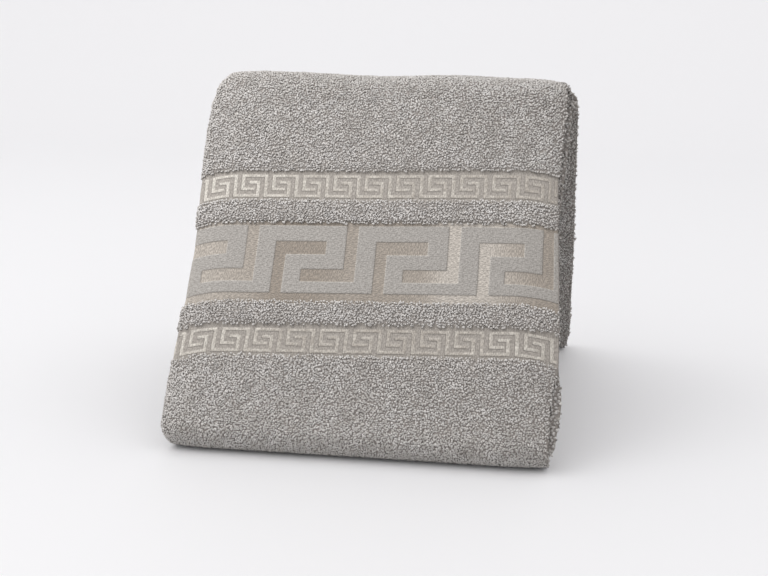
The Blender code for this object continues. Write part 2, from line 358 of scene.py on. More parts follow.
def fold(u, v, height):
    """Points of the folded towel, from places on the flat cloth and heights above its middle."""
    u, v, height = (np.atleast_1d(np.asarray(a, float)) for a in np.broadcast_arrays(u, v, height))
    x, from_middle = across(u, v, height)
    near_side = np.clip((np.abs(x) - HALF_WIDTH + SOFT_SIDE) / SOFT_SIDE, 0, 1) ** 2
    from_middle = from_middle + swell(x, v) * (u < LAYER_WIDTH) * (1 - near_side)
    v = slid(v, x, SIDE_PRESS * near_side * FRONT_LAYERS * LAYER_PITCH)
    base, away, distance = along_path(v)
    y, z = (base + away * ((distance + from_middle) * (1 - side_press(v) * near_side))[:, None]).T
    toe = TOE_LIFT * soft_step((TOE_START - FRONT_FOOT - y) / TOE_REACH) * soft_step(1 - z / TOE_FADE)
    up = np.clip(z / RIDGE_TOP, 0, 1)
    wave = WAVE * np.sin(math.pi * up) * np.sin(math.tau * WAVES_UP * up + WAVE_START)
    wave *= np.sin(math.tau * (WAVES_ACROSS * x + WAVES_SLANT * up))
    y = y + np.copysign(wave, y) + np.where(y < 0, FOOT_SKEW * x * (1 - up), 0)
    z = np.maximum(softly_pressed(z) - softly_pressed(-FOOT_PRESS), 0) + toe
    lift = RIDGE_LIFT * soft_step((x - LIFT_START) / LIFT_REACH) * up**4
    return np.stack([x, y, z * (1 - RIDGE_FALL * x / HALF_WIDTH) + lift], axis=-1)


# The woven border
# Two narrow bands and a wide one are woven into the cloth without pile, near each hem. Each has a
# meander, or Greek key, in sateen: raised in the narrow bands, and sunk in the wide one's fuller ground.
LOWER, WIDE, UPPER = 0, 1, 2
BORDER_START = 0.141
NARROW_BAND = 0.030
PILE_STRIP = 0.0185
WIDE_BAND = 0.074
BAND_STEP = 0.0008
BAND_HALF = 0.0009
KEY_RISE = 0.00040
GROUND_RISE = 0.00045
RELIEF_EDGE = 0.0005
BORDER_RIGHT = 0.166

# The small key: left, right, top, bottom, in the widths and heights of a line. It repeats every 12
# widths, and each band has its own line width and starts at its own place
SMALL_LINES = {LOWER: (0.00244, 0.0199), UPPER: (0.00241, 0.0161)}
SMALL_RISE = 0.00208
SMALL_REPEAT = 12
SMALL_TOP = 0.0052
LINE_SPREAD = 0.12
SMALL_KEY = [
    (0, 1, 0, 7),
    (0, 10, 0, 1),
    (9, 10, 0, 10),
    (0, 5, 6, 7),
    (3, 7, 3, 4),
    (6, 7, 3, 10),
    (-3, 7, 9, 10),
]

# The big key: left, right, top, bottom, and the lines along its upper and lower borders. Its last
# repeat is drawn in towards the selvedge
BIG_REPEAT = 0.0926
BIG_SHIFT = 0.0014
BIG_DRAW_IN = 0.009
DRAW_IN_START = 0.098
DRAW_IN_REACH = 0.050
BIG_KEY = [
    (0.0000, 0.0105, 0.0183, 0.0660),
    (0.0000, 0.0470, 0.0183, 0.0305),
    (0.0648, 0.0756, 0.0030, 0.0552),
    (0.0262, 0.0756, 0.0438, 0.0552),
]
BIG_BORDERS = [(-0.002, 0.0040), (0.0655, 0.0760)]

# How the big key's sateen goes from tan at 0 to cream at 1, by place across the face: a painted sheen
SHINE = [
    (-0.150, 0.60),
    (-0.114, 0.38),
    (-0.088, 0.00),
    (-0.050, 0.03),
    (-0.020, 0.25),
    (0.009, 0.18),
    (0.046, 0.30),
    (0.066, 0.95),
    (0.104, 0.95),
    (0.122, 0.50),
    (0.145, 0.20),
]

# The same painted sheen for the lower and the upper narrow band, from dull at 0 to bright at 1
LOWER_SHINE = [(-0.165, 0.75), (-0.120, 0.55), (-0.060, 0.25), (0.040, 0.10), (0.090, 0.30), (0.120, 0.60)]
UPPER_SHINE = [(-0.165, 1.0), (-0.120, 0.80), (-0.060, 0.45), (0.040, 0.35), (0.100, 0.25), (0.150, 0.0)]


def band_edges():
    """Where the woven bands start and end, from a hem."""
    edges = [BORDER_START]
    for width in (NARROW_BAND, PILE_STRIP, WIDE_BAND, PILE_STRIP, NARROW_BAND):
        edges.append(edges[-1] + width)
    return edges


BANDS = list(zip(band_edges()[::2], band_edges()[1::2]))


def inside(bars, right, down, repeat):
    """How far a point lies inside the nearest bar, or less than 0 outside, and if that bar is level."""
    depth, level = np.full(right.shape, -1.0), np.zeros(right.shape, bool)
    for left, far, top, bottom in bars:
        for shift in (-repeat, 0, repeat):
            wide = np.minimum(right - left - shift, far + shift - right)
            found = np.minimum(wide, np.minimum(down - top, bottom - down))
            level = np.where(found > depth, far - left > bottom - top, level)
            depth = np.maximum(depth, found)
    return depth, level


def key_depth(u, from_hem):
    """How far a point of the border lies inside its figure, in metres, and if it is in a level bar."""
    right = BORDER_RIGHT - u
    depth, level = np.full(u.shape, -1.0), np.zeros(u.shape, bool)
    for number, (low, high) in enumerate(BANDS):
        here = (from_hem > low - BAND_STEP) & (from_hem < high + BAND_STEP)
        down = high - from_hem[here]
        if number == WIDE:
            drawn = right[here] + BIG_DRAW_IN * soft_step((right[here] - DRAW_IN_START) / DRAW_IN_REACH)
            place = np.mod(drawn - BIG_SHIFT, BIG_REPEAT)
            found, flat_bar = inside(BIG_KEY, place, down, BIG_REPEAT)
            for top, bottom in BIG_BORDERS:
                found = np.maximum(found, np.minimum(down - top, bottom - down))
        else:
            line, start = SMALL_LINES[number]
            place = np.mod((right[here] - start) / line, SMALL_REPEAT)
            found, flat_bar = inside(SMALL_KEY, place, (down - SMALL_TOP) / SMALL_RISE, SMALL_REPEAT)
            found = (found + LINE_SPREAD) * SMALL_RISE
        depth[here], level[here] = found, flat_bar
    return depth, level


def in_band(from_hem):
    woven = np.zeros(from_hem.shape, bool)
    for low, high in BANDS:
        woven |= (from_hem > low) & (from_hem < high)
    return woven


def wide_band(from_hem):
    low, high = BANDS[WIDE]
    return (from_hem > low - BAND_STEP) & (from_hem < high + BAND_STEP)


# The cloth itself
# It is the woven ground that the loops stand on, with its bands, its flat selvedges and its turned
# hems. It is made as one closed flat sheet, finer where it bends and in the bands, and then folded.
PILE_ROOT = 0.0018
SELVEDGE = 0.0011
SELVEDGE_STEP = 0.0003
SELVEDGE_HALF = 0.0011
HEM = 0.013
HEM_HALF = 0.0014
COARSE = 0.0095
BEND_STEP = 0.0045
BAND_COARSE = 0.0072
BACK_COARSE = 0.012
CUTS_APART = 0.0025
FOLD_CUTS = 8
FINE_CUTS = 7
INSIDE_CUTS = 2
EDGE_LINE = 0.0005
SHOWN_MM = 6
WARP_SHOWS = {"wide ground": 0.40, "level bar": 0.85, "upright bar": 0.15, "narrow": 0.70}


def cuts_between(low, high, step):
    return list(np.linspace(low, high, max(int(math.ceil((high - low) / step)), 1) + 1))


def cuts_across():
    cuts = [0.0, SELVEDGE - SELVEDGE_STEP, SELVEDGE + SELVEDGE_STEP]
    cuts += cuts_between(SELVEDGE + SELVEDGE_STEP, LAYER_WIDTH, BAND_COARSE)[1:]
    cuts += cuts_between(LAYER_WIDTH, LAYER_WIDTH + FOLD_ARC, FOLD_ARC / FOLD_CUTS)[1:]
    cuts += cuts_between(LAYER_WIDTH + FOLD_ARC, CLOTH_WIDTH - SELVEDGE - SELVEDGE_STEP, BACK_COARSE)[1:]
    return cuts + [CLOTH_WIDTH - SELVEDGE + SELVEDGE_STEP, CLOTH_WIDTH]


def cuts_along():
    wanted = []
    for name, length in STRETCHES.items():
        step = BEND_STEP if "foot" in name or "ridge" in name else COARSE
        wanted += cuts_between(STARTS[name], STARTS[name] + length, step)[1:]
    fixed = [HEM - SELVEDGE_STEP, HEM + SELVEDGE_STEP]
    for low, high in BANDS:
        fixed += [low - BAND_STEP, low + BAND_STEP]
        fixed += cuts_between(low + BAND_STEP, high - BAND_STEP, BAND_COARSE)[1:-1]
        fixed += [high - BAND_STEP, high + BAND_STEP]
    fixed += [CLOTH_LENGTH - cut for cut in fixed]
    bands = BANDS + [(CLOTH_LENGTH - high, CLOTH_LENGTH - low) for low, high in BANDS]
    free = [cut for cut in wanted if min(abs(cut - other) for other in fixed) > CUTS_APART]
    free = [cut for cut in free if not any(low < cut < high for low, high in bands)]
    return sorted([0.0] + fixed + free + [CLOTH_LENGTH])


def flat_sheet(columns, rows):
    """A closed flat sheet, z = 1 on its face and -1 on its back, with a line at each cut."""
    sheet = bmesh.new()
    bmesh.ops.create_grid(sheet, x_segments=len(columns) - 1, y_segments=len(rows) - 1, size=0.5)
    columns, rows = np.array(columns), np.array(rows)
    for vertex in sheet.verts:
        column = round((vertex.co.x + 0.5) * (len(columns) - 1))
        row = round((vertex.co.y + 0.5) * (len(rows) - 1))
        vertex.co = (columns[column], rows[row], 1.0)
    made = bmesh.ops.extrude_face_region(sheet, geom=sheet.faces[:], use_keep_orig=True)
    for vertex in made["geom"]:
        if isinstance(vertex, bmesh.types.BMVert):
            vertex.co.z = -1.0
    bmesh.ops.recalc_face_normals(sheet, faces=sheet.faces[:])
    return sheet


def refine_bands(sheet):
    """Cuts the face layer's bands into small squares, finer in the border that shows in front."""
    half_way = CLOTH_LENGTH / 2
    for cuts, start, end in ((FINE_CUTS, 0, half_way), (INSIDE_CUTS, half_way, CLOTH_LENGTH)):
        for direction in (0, 1):
            edges = set()
            for face in sheet.faces:
                middle = face.calc_center_median()
                from_hem = min(middle.y, CLOTH_LENGTH - middle.y)
                woven = any(low + BAND_STEP < from_hem < high - BAND_STEP for low, high in BANDS)
                on_face = middle.z > 0.9 and SELVEDGE < middle.x < LAYER_WIDTH
                if woven and on_face and start < middle.y < end:
                    ends = [(edge, edge.verts[0].co - edge.verts[1].co) for edge in face.edges]
                    edges.update(edge for edge, run in ends if abs(run[direction]) > 1e-5)
            bmesh.ops.subdivide_edges(sheet, edges=list(edges), cuts=cuts, use_grid_fill=True)


def cloth_height(u, v, face):
    """Half the thickness of the ground: the pile's roots, or a band, a selvedge or a hem."""
    from_hem = np.minimum(v, CLOTH_LENGTH - v)
    depth, level = key_depth(u, from_hem)
    figure = soft_step(0.5 + depth / RELIEF_EDGE / 2)
    relief = np.where(wide_band(from_hem), GROUND_RISE * (1 - figure), KEY_RISE * figure)
    half = np.where(in_band(from_hem) & face, BAND_HALF + relief, PILE_ROOT)
    half = np.where(np.minimum(u, CLOTH_WIDTH - u) < SELVEDGE, SELVEDGE_HALF, half)
    half = np.where(from_hem < HEM, HEM_HALF, half)
    return half


def store(mesh, name, values):
    layer = mesh.attributes.new(name, "FLOAT", "POINT")
    layer.data.foreach_set("value", np.asarray(values, np.float32))


sheet = flat_sheet(cuts_across(), cuts_along())
refine_bands(sheet)
cloth_mesh = bpy.data.meshes.new("towel_cloth")
sheet.to_mesh(cloth_mesh)
sheet.free()
flat = np.empty(len(cloth_mesh.vertices) * 3)
cloth_mesh.vertices.foreach_get("co", flat)
flat = flat.reshape(-1, 3)
cloth_u, cloth_v, cloth_face = flat[:, 0], flat[:, 1], flat[:, 2] > 0
height = cloth_height(cloth_u, cloth_v, cloth_face) * np.where(cloth_face, 1, -1)
cloth_mesh.vertices.foreach_set("co", fold(cloth_u, cloth_v, height).ravel())
cloth_mesh.flip_normals()
cloth_from_hem = np.minimum(cloth_v, CLOTH_LENGTH - cloth_v)
store(cloth_mesh, "across_mm", cloth_u * 1000)
store(cloth_mesh, "along_mm", cloth_v * 1000)
cloth_depth, cloth_level = key_depth(cloth_u, cloth_from_hem)
cloth_wide = wide_band(cloth_from_hem)
in_bar = np.where(cloth_level, WARP_SHOWS["level bar"], WARP_SHOWS["upright bar"])
warp_shows = np.where(cloth_depth > 0, in_bar, WARP_SHOWS["wide ground"])
store(cloth_mesh, "figure_mm", np.clip(cloth_depth * 1000, -SHOWN_MM, SHOWN_MM))
store(cloth_mesh, "wide", cloth_wide)
store(cloth_mesh, "warp_shows", np.where(cloth_wide, warp_shows, WARP_SHOWS["narrow"]))
# The key's depth a little way off to one side, for its painted side shade and glint
side_shift = np.where(cloth_wide, EDGE_LINE, -EDGE_LINE)
beside = key_depth(cloth_u + side_shift, cloth_from_hem + EDGE_LINE)[0]
store(cloth_mesh, "beside_mm", np.clip(beside * 1000, -SHOWN_MM, SHOWN_MM))
# How far below each band's upper edge, for the painted shadow under the pile
to_upper_edges = [high - cloth_from_hem for low, high in BANDS]
below_edge = np.min([np.where(gap > 0, gap, 1) for gap in to_upper_edges], axis=0)
store(cloth_mesh, "below_edge_mm", np.clip(below_edge * 1000, 0, SHOWN_MM))
# The painted sheen of each band's sateen, by place across the face
place_across = BORDER_RIGHT - cloth_u
wide_shine, lower_shine, upper_shine = (
    np.interp(place_across, *zip(*table)) for table in (SHINE, LOWER_SHINE, UPPER_SHINE)
)
narrow_shine = np.where(cloth_from_hem < BANDS[WIDE][0], lower_shine, upper_shine)
store(cloth_mesh, "shine", np.where(cloth_wide, wide_shine, narrow_shine))
cloth_mesh.shade_smooth()
cloth_mesh.update()

cloth = bpy.data.objects.new("towel_cloth", cloth_mesh)
bpy.context.scene.collection.objects.link(cloth)


SHEEN_ROUGHNESS = 0.5
COTTON_SPECULAR = 0.25

# Between which values of a noise its dark and its light lie: for large spots, for grain and for threads
SPOT_SPREAD = (0.35, 0.65)
GRAIN_SPREAD = (0.3, 0.7)
STREAK_SPREAD = (0.25, 0.75)


class Shades:
    """A material's nodes, added one by one and joined."""

    def __init__(self, name, roughness, sheen, sheen_tint):
        self.material = bpy.data.materials.new(name)
        self.material.use_nodes = True
        self.tree = self.material.node_tree
        self.shader = self.tree.nodes["Principled BSDF"]
        self.shader.inputs["Roughness"].default_value = roughness
        self.shader.inputs["Sheen Weight"].default_value = sheen
        self.shader.inputs["Sheen Roughness"].default_value = SHEEN_ROUGHNESS
        self.shader.inputs["Sheen Tint"].default_value = (*sheen_tint, 1.0)
        self.shader.inputs["Specular IOR Level"].default_value = COTTON_SPECULAR

    def join(self, source, target):
        if isinstance(source, (int, float)):
            target.default_value = source
        elif isinstance(source, tuple):
            target.default_value = (*source, 1.0)
        else:
            self.tree.links.new(source, target)

    def math(self, operation, first, second=0.0, third=0.0):
        node = self.tree.nodes.new("ShaderNodeMath")
        node.operation = operation
        for source, target in zip((first, second, third), node.inputs):
            self.join(source, target)
        return node.outputs[0]

    def mix(self, share, first, second):
        node = self.tree.nodes.new("ShaderNodeMix")
        node.data_type = "RGBA"
        self.join(share, node.inputs["Factor"])
        for name, source in (("A", first), ("B", second)):
            colour = [s for s in node.inputs if s.name == name and s.type == "RGBA"][0]
            self.join(source, colour)
        return [s for s in node.outputs if s.type == "RGBA"][0]

    def between(self, value, low, high, start=0.0, end=1.0):
        node = self.tree.nodes.new("ShaderNodeMapRange")
        node.interpolation_type = "SMOOTHSTEP"
        for source, target in zip((value, low, high, start, end), node.inputs):
            self.join(source, target)
        return node.outputs[0]

    def read(self, name):
        node = self.tree.nodes.new("ShaderNodeAttribute")
        node.attribute_name = name
        return node.outputs["Fac"]

    def noise(self, scale):
        """Soft uneven spots, scale of them in a metre."""
        place = self.tree.nodes.new("ShaderNodeTexCoord")
        node = self.tree.nodes.new("ShaderNodeTexNoise")
        node.inputs["Scale"].default_value = scale
        node.inputs["Detail"].default_value = 2.0
        self.tree.links.new(place.outputs["Object"], node.inputs["Vector"])
        return node.outputs[0]

    def streaks(self, across_mm, along_mm):
        """Uneven threads of these lengths across and along the cloth, from 0 to 1."""
        place = self.tree.nodes.new("ShaderNodeCombineXYZ")
        self.join(self.math("DIVIDE", self.read("across_mm"), across_mm), place.inputs[0])
        self.join(self.math("DIVIDE", self.read("along_mm"), along_mm), place.inputs[1])
        node = self.tree.nodes.new("ShaderNodeTexNoise")
        node.inputs["Scale"].default_value = 1.0
        node.inputs["Detail"].default_value = 0.0
        self.tree.links.new(place.outputs[0], node.inputs["Vector"])
        return self.between(node.outputs[0], *STREAK_SPREAD)

    def ribs(self, value, pitch):
        return self.math("SINE", self.math("MULTIPLY", value, math.tau / pitch))

    def bump(self, height, distance, strength=1.0):
        node = self.tree.nodes.new("ShaderNodeBump")
        node.inputs["Strength"].default_value = strength
        node.inputs["Distance"].default_value = distance
        self.tree.links.new(height, node.inputs["Height"])
        self.tree.links.new(node.outputs[0], self.shader.inputs["Normal"])

    def paint(self, colour):
        self.join(colour, self.shader.inputs["Base Color"])


def linear(red, green, blue):
    """A colour of 11 to 255 as light."""
    return tuple(((part / 255 + 0.055) / 1.055) ** 2.4 for part in (red, green, blue))


def shaded(colour, share):
    return tuple(part * share for part in colour)


# The pile's roots are painted darker than the loops, as the shade between them
ROOT_GREY = linear(158, 152, 147)
SELVEDGE_PINK = linear(150, 144, 138)
NARROW_GROUND = linear(155, 149, 142)
NARROW_DULL = linear(167, 160, 151)
NARROW_BRIGHT = linear(202, 197, 188)
WIDE_GROUND = linear(158, 154, 149)
WIDE_TAN = linear(142, 132, 121)
WIDE_CREAM = linear(187, 180, 171)
# The colour of the painted glint just outside the wide band's bars
GLINT = linear(200, 196, 188)

# The border's threads and lines, lengths in mm: how soft the key's edges and its painted side shade are,
# the threads' length and breadth, and how dark the gaps, the painted side shade and the painted shadow
# under the pile's edge are
FIGURE_SOFT = 0.3
SIDE_SOFT = 0.15
THREAD_LENGTH = 2.6
THREAD_BREADTH = 0.75
THREAD_SHADE = 0.42
THREAD_LIGHTENS = 0.80
GAP_DARK = 0.62
SIDE_DARK = 0.8
PILE_SHADOW_DARK = 0.7
PILE_SHADOW_START, PILE_SHADOW_END = 0.2, 1.2
SHINE_SPOTS = 170.0
SHINE_UNEVEN = 0.25
GLINT_SHARE = 0.5
BORDER_RELIEF = 0.0004
SIDE_SINK = 0.5

# The plain weave of the selvedges and hems, its ribs' and lines' pitch in mm, and the pile's roots: how
# dark they get between the threads, and how deep
SELVEDGE_SHADE = 0.7
RIB_PITCH = 1.3
RIB_SHARE = 0.3
LINE_PITCH = 0.9
LINE_SHARE = 0.2
SELVEDGE_RELIEF = 0.0003
ROOT_SHADE = 0.6
ROOT_GRAIN = 900.0
ROOT_LUMPS = 700.0
ROOT_RELIEF = 0.0012


def root_material():
    """The foot of the pile between the loops, painted darker as the shade there."""
    root = Shades("terry roots", roughness=0.95, sheen=0.1, sheen_tint=ROOT_GREY)
    grain = root.between(root.noise(ROOT_GRAIN), *GRAIN_SPREAD)
    root.paint(root.mix(grain, shaded(ROOT_GREY, ROOT_SHADE), ROOT_GREY))
    root.bump(root.noise(ROOT_LUMPS), ROOT_RELIEF)
    return root.material


def border_material():
    """The bands: a sateen key on a plainer ground, in threads drawn from the cloth's own measures, with
    painted side shade, glint, sheen and shadow.
    """
    border = Shades("woven border", roughness=0.6, sheen=0.25, sheen_tint=WIDE_CREAM)
    wide = border.read("wide")
    figure = border.between(border.read("figure_mm"), -FIGURE_SOFT, FIGURE_SOFT)
    beside = border.between(border.read("beside_mm"), -SIDE_SOFT, SIDE_SOFT)
    weft = border.streaks(THREAD_LENGTH, THREAD_BREADTH)
    warp = border.streaks(THREAD_BREADTH, THREAD_LENGTH)
    apart = border.math("SUBTRACT", warp, weft)
    thread = border.math("MULTIPLY_ADD", border.read("warp_shows"), apart, weft)
    # The key's sateen takes a painted sheen, uneven in spots
    shine = border.read("shine")
    uneven = border.between(border.noise(SHINE_SPOTS), *SPOT_SPREAD, -SHINE_UNEVEN, SHINE_UNEVEN)
    narrow_figure = border.mix(border.math("ADD", shine, uneven), NARROW_DULL, NARROW_BRIGHT)
    wide_figure = border.mix(shine, WIDE_TAN, WIDE_CREAM)
    ground = border.mix(wide, NARROW_GROUND, WIDE_GROUND)
    colour = border.mix(figure, ground, border.mix(wide, narrow_figure, wide_figure))
    # Painted shade at the key's sides, inside the wide band's sunk bars and beside the narrow bands' raised
    # ones, and a painted glint just outside the wide band's bars
    outside = border.math("SUBTRACT", 1.0, figure)
    sunk_side = border.math("MULTIPLY", figure, border.math("SUBTRACT", 1.0, beside))
    far_side = border.math("MULTIPLY", outside, beside)
    raised_side = border.math("MULTIPLY", far_side, border.math("SUBTRACT", 1.0, wide))
    side_shade = border.math("MULTIPLY_ADD", sunk_side, wide, raised_side)
    glint = border.math("MULTIPLY", far_side, wide)
    colour = border.mix(border.math("MULTIPLY", glint, GLINT_SHARE), colour, GLINT)
    darker = border.math("MULTIPLY_ADD", thread, -THREAD_LIGHTENS, GAP_DARK)
    darker = border.math("MAXIMUM", darker, border.math("MULTIPLY", side_shade, SIDE_DARK))
    # A painted shadow under the pile that hangs over each band's upper edge
    below_edge = border.read("below_edge_mm")
    pile_shadow = border.between(below_edge, PILE_SHADOW_START, PILE_SHADOW_END, PILE_SHADOW_DARK, 0.0)
    darker = border.math("MAXIMUM", darker, pile_shadow)
    border.paint(border.mix(darker, colour, shaded(NARROW_GROUND, THREAD_SHADE)))
    border.bump(border.math("MULTIPLY_ADD", side_shade, -SIDE_SINK, thread), BORDER_RELIEF)
    return border.material


def selvedge_material():
    """The flat selvedges and the turned hems, plain ribbed weave."""
    plain = Shades("selvedge weave", roughness=0.8, sheen=0.2, sheen_tint=SELVEDGE_PINK)
    ribs = plain.ribs(plain.read("along_mm"), RIB_PITCH)
    lines = plain.ribs(plain.read("across_mm"), LINE_PITCH)
    weave = plain.math("MULTIPLY_ADD", lines, LINE_SHARE, 0.5)
    weave = plain.math("MULTIPLY_ADD", ribs, RIB_SHARE, weave)
    plain.paint(plain.mix(weave, shaded(SELVEDGE_PINK, SELVEDGE_SHADE), SELVEDGE_PINK))
    plain.bump(weave, SELVEDGE_RELIEF)
    return plain.material


ROOTS, WOVEN, PLAIN = 0, 1, 2
for material in (root_material(), border_material(), selvedge_material()):
    cloth_mesh.materials.append(material)
corner_counts = np.empty(len(cloth_mesh.polygons), int)
first_corners = np.empty(len(cloth_mesh.polygons), int)
corner_points = np.empty(len(cloth_mesh.loops), int)
cloth_mesh.polygons.foreach_get("loop_total", corner_counts)
cloth_mesh.polygons.foreach_get("loop_start", first_corners)
cloth_mesh.loops.foreach_get("vertex_index", corner_points)
centre_u = np.add.reduceat(cloth_u[corner_points], first_corners) / corner_counts
centre_v = np.add.reduceat(cloth_from_hem[corner_points], first_corners) / corner_counts
on_face = np.add.reduceat(cloth_face[corner_points].astype(int), first_corners) == corner_counts
finish = np.where(in_band(centre_v) & on_face, WOVEN, ROOTS)
finish[(np.minimum(centre_u, CLOTH_WIDTH - centre_u) < SELVEDGE) | (centre_v < HEM)] = PLAIN
cloth_mesh.polygons.foreach_set("material_index", finish)

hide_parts("towel")
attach(cloth, "root")


# The pile
# Uncut loops of soft cotton yarn stand on the ground, close together, and lean every way. Those on
# the upright faces hang a little, so they reach over the upper edge of each band.
LOOP_CORNERS = 3
LOOP_RINGS = 2
LOOP_RISE = 0.00105
LOOP_SPAN = 0.00062
LOOP_YARN = 0.00092
YARN_AT_ROOT = 0.82
YARN_SWELL = 0.22
LOOP_SINK = 0.0003
LOOP_LEAN = 0.0005
LOOP_HANG = 0.0005
LOOP_TWIST = 0.0005
RISES = (0.7, 1.2)
SIZES = (0.8, 1.25)
SIZE_GROWTH = 0.85
# Below this height above the floor, loops are painted in more shade
SHADED_BELOW = 0.0020
ABOVE_FLOOR = 0.0001
NEAR = 0.0004

# Beside a band or a selvedge, loops hang and lean over it
EDGE_HANG = 0.0010
EDGE_LEAN = 0.0010
EDGE_REACH = 0.0030
SIDE_REACH = 0.0050
SIDE_LEAN = 0.0016
PILE_OVER = 0.0012

# How far apart loops stand: finest where the photo shows them. Rows lie a little closer than columns,
# and each loop is shaken by up to these shares of a step
FINE_SPACING = 0.0019
RIM_SPACING = 0.0021
COARSE_SPACING = 0.0032
INSIDE_FRONT_SPACING = 0.0038
INSIDE_BACK_SPACING = 0.0040
ROW_SHARE = 0.9
SHAKE_ACROSS = 0.3
SHAKE_ALONG = 0.38
PILE_TIP = 0.0029
FINE_STEPS = 1500

# Its shades: each loop is painted darker down its sides, as shade between the loops; some loops are darker
# throughout, and so are soft patches and tufts. The front foot's underside is painted near-black as a
# contact shadow, up to these heights in mm
TERRY_LIGHT = linear(205, 202, 199)
TERRY_MIDDLE = linear(190, 187, 184)
TERRY_DARK = linear(157, 151, 144)
PAINTED_CONTACT_SHADOW = linear(46, 43, 40)
CONTACT_SHADOW_TOP, CONTACT_SHADOW_END = 2.6, 4.8
CLEAR_SHOWN_MM = 20
FLANK, TIP = 0.05, 0.5
DARKER_LOOPS, DARKER_SHARE = 0.3, 0.4
PATCHES, PATCH_SHARE = 38.0, 0.22
TUFTS, TUFT_SHARE = 120.0, 0.25
FIBRES, FIBRE_RELIEF, FIBRE_STRENGTH = 2600.0, 0.0004, 0.8

# The pile's disorder: lengths of its soft waves and the ways that they run, in radians
RUFFLES = [(0.031, 0.3), (0.022, 1.5), (0.016, 2.4), (0.011, 0.9), (0.0085, 2.9)]
RUFFLE_RISE = 0.22
RUFFLE_LEAN = 0.0007
RUFFLE_SHADE = 0.12
RUFFLE_TURN = 7
RUFFLE_GAIN = 1.6

# Where its pieces start and end
FRONT_END = STARTS["front leg"] + FRONT_LENGTH
RIDGE_END = STARTS["back leg"]
BACK_END = STARTS["inner back leg"]
INSIDE_TURN = STARTS["inner ridge"]
OVER_FOLD = 0.008
PAST_FOLD = LAYER_WIDTH + FOLD_ARC + OVER_FOLD
RIM = 0.026
EDGE_STRIP = 0.014


def terry_material():
    """Looped cotton: each loop light at its tip and painted darker down its sides as shade, no two quite
    alike.
    """
    terry = Shades("looped terry", roughness=0.92, sheen=1.0, sheen_tint=TERRY_LIGHT)
    lift, own = terry.read("lift"), terry.read("own")
    top = terry.mix(terry.between(own, DARKER_LOOPS, 1.0), TERRY_MIDDLE, TERRY_LIGHT)
    top = terry.mix(terry.between(own, 0.0, DARKER_LOOPS, DARKER_SHARE, 0.0), top, TERRY_DARK)
    # Painted shade: each loop darkens from its crown down its sides and towards its ends, as if shaded by
    # its neighbours
    colour = terry.mix(terry.between(lift, FLANK, TIP), TERRY_DARK, top)
    patches = terry.between(terry.noise(PATCHES), *SPOT_SPREAD, 0.0, PATCH_SHARE)
    tufts = terry.between(terry.noise(TUFTS), *SPOT_SPREAD, 0.0, TUFT_SHARE)
    colour = terry.mix(terry.math("ADD", patches, tufts), colour, TERRY_DARK)
    # Painted contact shadow: the loops lowest on the floor are painted near-black
    contact_shadow = terry.between(terry.read("clear_mm"), CONTACT_SHADOW_TOP, CONTACT_SHADOW_END, 1.0, 0.0)
    terry.paint(terry.mix(contact_shadow, colour, PAINTED_CONTACT_SHADOW))
    terry.bump(terry.noise(FIBRES), FIBRE_RELIEF, FIBRE_STRENGTH)
    return terry.material


def unit(vectors):
    return vectors / np.maximum(np.linalg.norm(vectors, axis=-1, keepdims=True), 1e-9)


def evenly(low, high, spacing, place):
    """Places from low to high that lie one spacing apart on the folded pile. place gives its points."""
    fine = np.linspace(low, high, FINE_STEPS)
    steps = np.linalg.norm(np.diff(place(fine), axis=0), axis=1)
    arc = np.concatenate([[0.0], np.cumsum(steps)])
    count = max(int(arc[-1] / spacing), 1)
    return np.interp((np.arange(count) + 0.5) / count * arc[-1], arc, fine)


def scattered(u_range, v_range, side, spacing, draw):
    """Places for loops, in staggered rows that are shaken a little, kept off the bands and the hems."""
    u_middle, v_middle = sum(u_range) / 2, sum(v_range) / 2
    columns = evenly(*u_range, spacing, lambda fine: fold(fine, v_middle, side * PILE_TIP))
    rows = evenly(*v_range, spacing * ROW_SHARE, lambda fine: fold(u_middle, fine, side * PILE_TIP))
    u, v = (grid.ravel() for grid in np.meshgrid(columns, rows))
    u_step = np.interp(u, columns, np.gradient(columns)) if len(columns) > 1 else spacing
    v_step = np.interp(v, rows, np.gradient(rows)) if len(rows) > 1 else spacing
    stagger = np.repeat(np.arange(len(rows)) % 2, len(columns)) * 0.5 - 0.25
    u = u + u_step * (stagger + draw.uniform(-SHAKE_ACROSS, SHAKE_ACROSS, u.size))
    v = v + v_step * draw.uniform(-SHAKE_ALONG, SHAKE_ALONG, u.size)
    from_hem = np.minimum(v, CLOTH_LENGTH - v)
    keep = (np.minimum(u, CLOTH_WIDTH - u) > SELVEDGE) & (from_hem > HEM)
    if side > 0:
        for low, high in BANDS:
            keep &= (from_hem < low + PILE_OVER) | (from_hem > high)
    return u[keep], v[keep]


def ruffle(u, v, shift):
    """The pile's soft disorder at places on the cloth, about -1 to 1."""
    total = np.zeros(u.size)
    for wave_length, way in RUFFLES:
        run = u * math.cos(way) + v * math.sin(way)
        total += np.sin(math.tau * run / wave_length + RUFFLE_TURN * way + shift)
    return total / len(RUFFLES) * RUFFLE_GAIN


def beside_bands(v):
    """Near a band's bare edges, how far loops hang over its upper one and lean over either, along v."""
    from_hem, turn = np.minimum(v, CLOTH_LENGTH - v), np.where(v < CLOTH_LENGTH / 2, 1, -1)
    above, below = np.zeros(v.size), np.zeros(v.size)
    for low, high in BANDS:
        above += soft_step(1 - (from_hem - high) / EDGE_REACH) * (from_hem > high)
        below += soft_step(1 - (low - from_hem) / EDGE_REACH) * (from_hem < low + PILE_OVER)
    return (LOOP_HANG + EDGE_HANG * above)[:, None], (EDGE_LEAN * (below - above) * turn)[:, None]


def over_selvedge(u):
    """How far loops beside a selvedge lean out over it, along u."""
    near = soft_step(1 - (u - SELVEDGE) / SIDE_REACH)
    far = soft_step(1 - (CLOTH_WIDTH - SELVEDGE - u) / SIDE_REACH)
    return (SIDE_LEAN * (far - near))[:, None]


